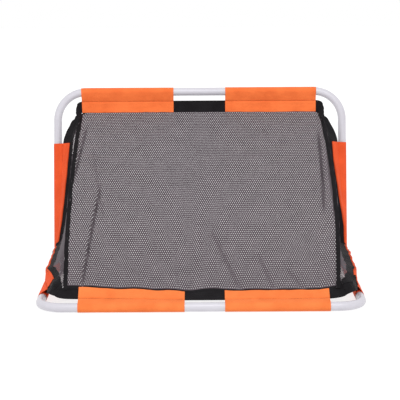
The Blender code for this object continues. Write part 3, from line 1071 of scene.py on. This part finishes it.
def oxford(name, colour, deep):
    """Woven polyester: a fine plain weave, uneven yarns, soft dents and soft patches of painted
    wrinkle shade.
    """
    paint = Paint(name, Specular_IOR_Level=0.08, **SOFT_SHEEN)
    along, across = paint.cloth_place()
    warp = paint.wave(along, YARN_PITCH)
    weft = paint.wave(across, YARN_PITCH)
    over = paint.math("MULTIPLY", warp, weft)
    not_warp = paint.math("SUBTRACT", 1.0, warp)
    not_weft = paint.math("SUBTRACT", 1.0, weft)
    weave = paint.sum(over, paint.math("MULTIPLY", not_warp, not_weft))
    # Large soft darker patches: painted shade standing for the shading of wrinkles in the cloth.
    painted_wrinkle_shade = paint.ramp(paint.noise(22.0, 4.0), -0.75, 1.0)
    yarns = paint.ramp(paint.noise(420.0, 2.0), -0.25, 0.45)
    shade = paint.sum(paint.sum(painted_wrinkle_shade, yarns), weave, -0.28)
    paint.set("Base Color", paint.mix(paint.sum(shade, 0.25), colour, deep))
    paint.set("Roughness", paint.ramp(weave, 0.82, 0.62))
    paint.bump(paint.sum(weave, paint.noise(45.0, 4.0), 9.0), 0.00025, 0.9)
    return paint.material


def ribbed_tape(name, colour, worn):
    """Woven tape: fine ribs in a herringbone, long floats and a soft sheen."""
    paint = Paint(name, Roughness=0.7, Specular_IOR_Level=0.1, **SOFT_SHEEN)
    along, across = paint.cloth_place()
    zigzag = paint.math("PINGPONG", across, 0.004)
    ribs = paint.wave(paint.sum(along, zigzag), 0.0016)
    floats = paint.wave(across, 0.0020)
    height = paint.sum(ribs, floats, 0.5)
    dust = paint.ramp(paint.noise(35.0, 5.0), -0.5, 0.8)
    paint.set("Base Color", paint.mix(paint.sum(dust, ribs, 0.35), colour, worn))
    paint.bump(height, 0.00025, 0.9)
    return paint.material


def knit(name, colour, worn):
    """Knitted polyester net: twisted yarn with a faint shine."""
    paint = Paint(name, Roughness=0.6, Specular_IOR_Level=0.15, **SOFT_SHEEN)
    yarn = paint.cells(1500.0)
    shade = paint.sum(paint.ramp(paint.noise(25.0), -0.4, 0.8), yarn, 0.5)
    paint.set("Base Color", paint.mix(shade, colour, worn))
    paint.bump(yarn, 0.0003, 0.7)
    return paint.material


def powder_coat(name, colour, dull, roughness):
    """Powder-coated steel: orange peel, faint dulling and fine scuffs."""
    paint = Paint(name, Coat_Weight=0.25, Coat_Roughness=0.18)
    peel = paint.noise(700.0, 1.0)
    scuffs = paint.ramp(paint.noise(55.0, 8.0), -1.6, 2.4)
    shade = paint.sum(paint.ramp(paint.noise(7.0), -0.4, 0.8), scuffs, 0.15)
    paint.set("Base Color", paint.mix(shade, colour, dull))
    paint.set("Roughness", paint.ramp(paint.noise(90.0, 6.0), roughness - 0.1, roughness + 0.15))
    paint.bump(paint.sum(peel, scuffs, 0.2), 0.00012, 0.5)
    return paint.material


def plated(name, colour, dull):
    """Zinc plating: crystalline mottling and drawn marks."""
    paint = Paint(name, Metallic=1.0)
    grains = paint.cells(900.0)
    shade = paint.sum(paint.ramp(paint.noise(200.0, 6.0), -0.3, 0.9), grains, 0.3)
    paint.set("Base Color", paint.mix(shade, colour, dull))
    paint.set("Roughness", paint.ramp(paint.noise(350.0, 5.0), 0.22, 0.5))
    paint.bump(grains, 0.00008, 0.4)
    return paint.material


def moulded(name, colour, worn):
    """Moulded plastic: a fine matt grain."""
    paint = Paint(name, Roughness=0.5)
    grain = paint.noise(1800.0, 2.0)
    paint.set("Base Color", paint.mix(paint.ramp(paint.noise(80.0, 5.0), -0.4, 0.9), colour, worn))
    paint.set("Roughness", paint.ramp(grain, 0.42, 0.62))
    paint.bump(grain, 0.0001, 0.5)
    return paint.material


def finish_hardware():
    """Better finishes and eased edges for the steel and plastic pieces of the frame."""
    zinc = plated("zinc_plating", (0.62, 0.63, 0.64), (0.38, 0.39, 0.40))
    black = powder_coat("black_powder", (0.018, 0.018, 0.020), (0.05, 0.05, 0.052), 0.42)
    plug = moulded("plug_plastic", (0.02, 0.02, 0.021), (0.045, 0.045, 0.046))
    finishes = {"bracket": black, "plug": plug}
    finishes.update(dict.fromkeys(("bolt", "nut", "washer", "rivet"), zinc))
    for name, node in frame["nodes"].items():
        if node.hide_render:
            continue
        material = next(m for word, m in finishes.items() if word in name)
        for slot in node.material_slots:
            slot.material = material
        weld = node.modifiers.new("weld", "WELD")
        weld.merge_threshold = 0.00001
        bevel = node.modifiers.new("eased_edges", "BEVEL")
        bevel.width = 0.00025
        bevel.segments = 2
        bevel.limit_method = "ANGLE"
        bevel.angle_limit = math.radians(40)


# -------- stage, lights and camera
def make_stage():
    """A white floor that glows a little, so shadows on it stay faint, and a white sky."""
    bpy.ops.mesh.primitive_plane_add(size=30, location=(0, 0, -0.001))
    floor = bpy.context.object
    floor.name = "floor"
    paint = Paint("pale_floor", Roughness=0.9, Base_Color=(0.26, 0.26, 0.26, 1.0))
    paint.set("Emission Color", (1.0, 1.0, 1.0, 1.0))
    paint.set("Emission Strength", FLOOR_GLOW)
    floor.data.materials.append(paint.material)
    world = bpy.data.worlds.new("studio")
    world.use_nodes = True
    background = world.node_tree.nodes["Background"]
    background.inputs["Color"].default_value = (1.0, 1.0, 1.0, 1.0)
    background.inputs["Strength"].default_value = WORLD_LIGHT
    bpy.context.scene.world = world
    bpy.context.scene.view_settings.view_transform = "Standard"


def make_lights():
    for name, place, size, watts in LIGHTS:
        light = bpy.data.lights.new(name, "AREA")
        light.energy = watts
        light.size = size
        lamp = bpy.data.objects.new(name, light)
        lamp.location = place
        lamp.rotation_mode = "QUATERNION"
        aim = Vector(LIGHTS_AIM) - Vector(place)
        lamp.rotation_quaternion = aim.to_track_quat("-Z", "Y")
        add_to_scene(lamp)


def make_camera():
    """A long lens behind the goal and above it, looking a little down."""
    data = bpy.data.cameras.new("camera")
    data.sensor_width = 36.0
    data.lens = LENS
    data.shift_x = -0.001
    camera = bpy.data.objects.new("camera", data)
    place = Matrix.Translation((0, REAR_Y - CAMERA_BACK, CAMERA_HEIGHT))
    pitch = Matrix.Rotation(math.radians(90 - CAMERA_DOWN), 4, "X")
    roll = Matrix.Rotation(math.radians(CAMERA_ROLL), 4, "Z")
    camera.matrix_world = place @ pitch @ roll
    add_to_scene(camera)
    bpy.context.scene.camera = camera


RAILS = (ground_rail(), upright_rail())
SLOPE_ENDS = (net_end(RAILS[0], 0.0), net_end(RAILS[1], 0.0))


def main():
    cloth = oxford("orange_oxford", (0.83, 0.178, 0.048), (0.68, 0.122, 0.030))
    # A lighter, yellower copy of the orange cloth for the rear sleeves: painted light for sleeves
    # that face up and catch more light.
    painted_light_rear_cloth = oxford("painted_light_orange_oxford", (0.80, 0.200, 0.054), (0.68, 0.142, 0.034))
    # A darker, redder copy of the orange cloth for the post and side sleeves: painted shade for
    # sleeves that catch less light.
    painted_shade_leg_cloth = oxford("painted_shade_red_orange_oxford", (0.78, 0.096, 0.025), (0.62, 0.066, 0.017))
    # Real stitches in a dark brown-orange thread, whose dark colour also paints in the shade of the
    # groove they sink into.
    thread = oxford("orange_thread_painted_groove_shade", (0.20, 0.024, 0.008), (0.13, 0.016, 0.006))
    tape = ribbed_tape("black_webbing", (0.005, 0.004, 0.005), (0.013, 0.012, 0.014))
    edging = ribbed_tape("black_edging", (0.005, 0.004, 0.005), (0.011, 0.010, 0.012))
    # Dark grey yarn, lighter than the black yarn itself: the sheen of the glossy yarn is painted
    # into its colour.
    net = knit("net_yarn_painted_sheen", (0.068, 0.054, 0.063), (0.108, 0.088, 0.100))
    steel = powder_coat("white_powder", (0.52, 0.505, 0.55), (0.44, 0.425, 0.47), 0.36)
    make_camera()
    make_stage()
    make_lights()
    make_tubes(RAILS, steel)
    make_sleeves(RAILS, cloth, painted_light_rear_cloth, painted_shade_leg_cloth, thread)
    make_webbing(RAILS, [tape])
    make_back_net(RAILS, net, [edging])
    make_side_nets(RAILS, net, [edging])
    finish_hardware()


main()
